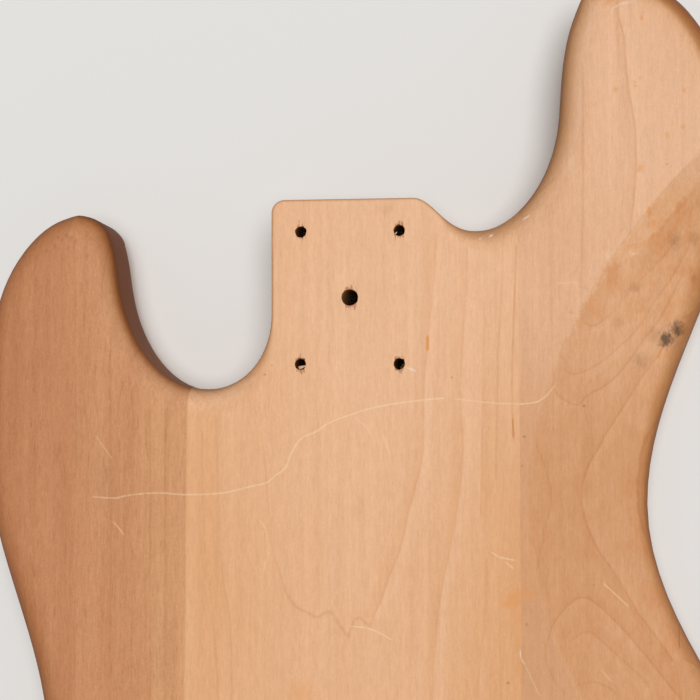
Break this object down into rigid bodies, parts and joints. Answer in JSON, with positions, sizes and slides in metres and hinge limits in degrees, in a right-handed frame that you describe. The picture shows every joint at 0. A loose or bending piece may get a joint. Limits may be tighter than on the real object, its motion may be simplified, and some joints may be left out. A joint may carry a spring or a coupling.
{
  "type": "bass guitar body",
  "caption": "Bare wooden solid body for an electric bass, edge-glued staves, offset double cutaway, routed neck pocket, pickup and control cavities on its front.",
  "frame": {"origin": "where the centreline crosses the bridge's scale line, on the front face", "axes": "+Y along the centreline towards the neck, +Z out of the back, +X towards the bass side; the front face lies in Z = 0"},
  "size_m": [0.348, 0.5133, 0.0444],
  "materials": {
    "bass_side_stave": "bare sanded alder",
    "centre_stave": "bare sanded alder",
    "treble_side_stave": "bare sanded alder"
  },
  "bodies": {
    "root": {"bass_side_stave": "bass_side_stave", "centre_stave": "centre_stave", "treble_side_stave": "treble_side_stave"}
  },
  "joints": []
}
